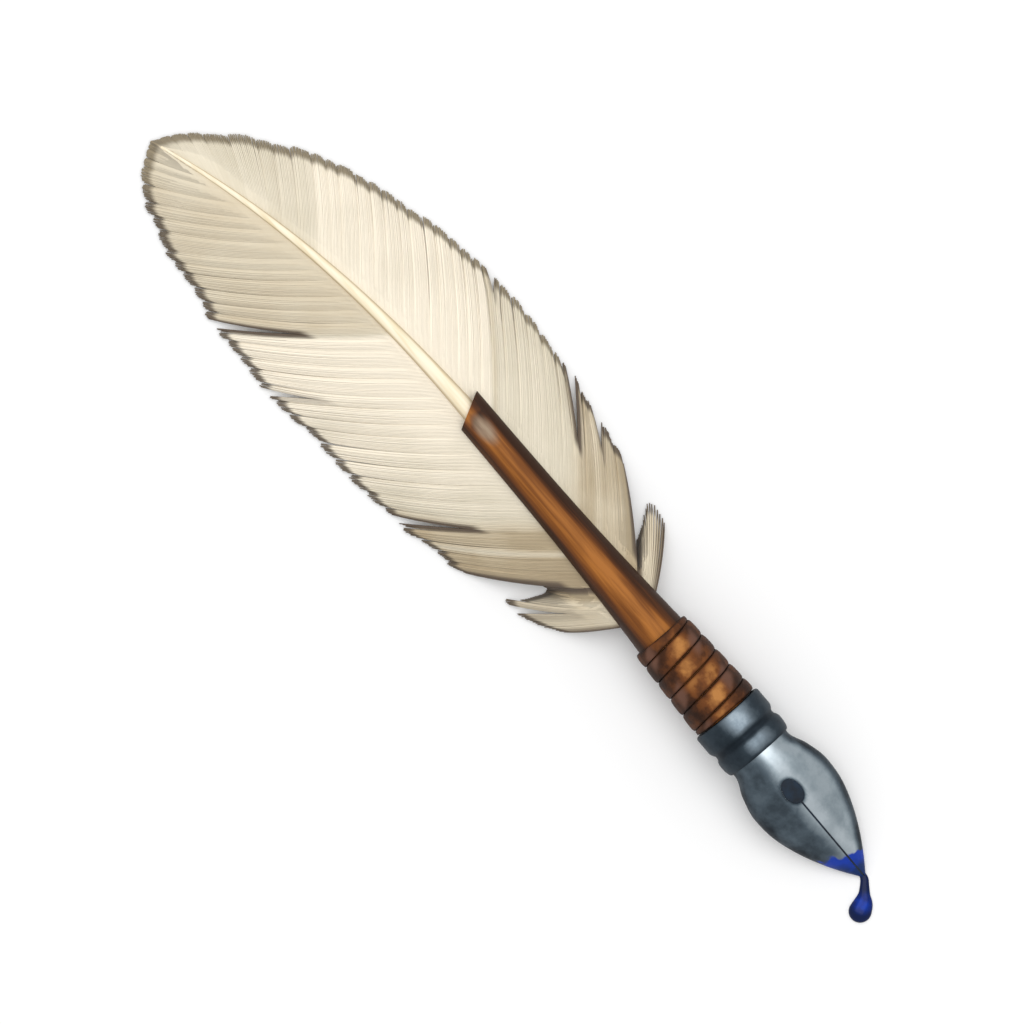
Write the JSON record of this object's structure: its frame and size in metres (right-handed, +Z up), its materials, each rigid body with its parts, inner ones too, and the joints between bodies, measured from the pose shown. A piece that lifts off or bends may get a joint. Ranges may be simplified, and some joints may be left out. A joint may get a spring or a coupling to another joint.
{
  "type": "goose quill dip pen",
  "caption": "Goose feather made into a dip pen: a turned wooden shaft with a leather grip, a steel ferrule and a steel nib, with blue ink run off its point.",
  "frame": {"origin": "on the surface that the pen lies on, under the middle of its footprint", "axes": "+X along the shaft from the nib to the feather's tip, +Y to the broad vane, +Z up"},
  "size_m": [0.249, 0.0594, 0.0184],
  "materials": {
    "feather": "soft cream vanes with darker margins and a smooth pale rachis",
    "wood": "oiled brown wood, worn lighter along the top",
    "leather": "dark brown leather thong, rubbed tan on its crowns",
    "ferrule_steel": "blued steel, satin",
    "nib_steel": "blue-grey steel, satin, ink stained at the point",
    "ink": "wet blue ink"
  },
  "bodies": {
    "root": {"feather": "feather", "shaft": "wood", "wrap": "leather", "ferrule": "ferrule_steel", "nib": "nib_steel", "ink_drip": "ink"}
  },
  "joints": []
}
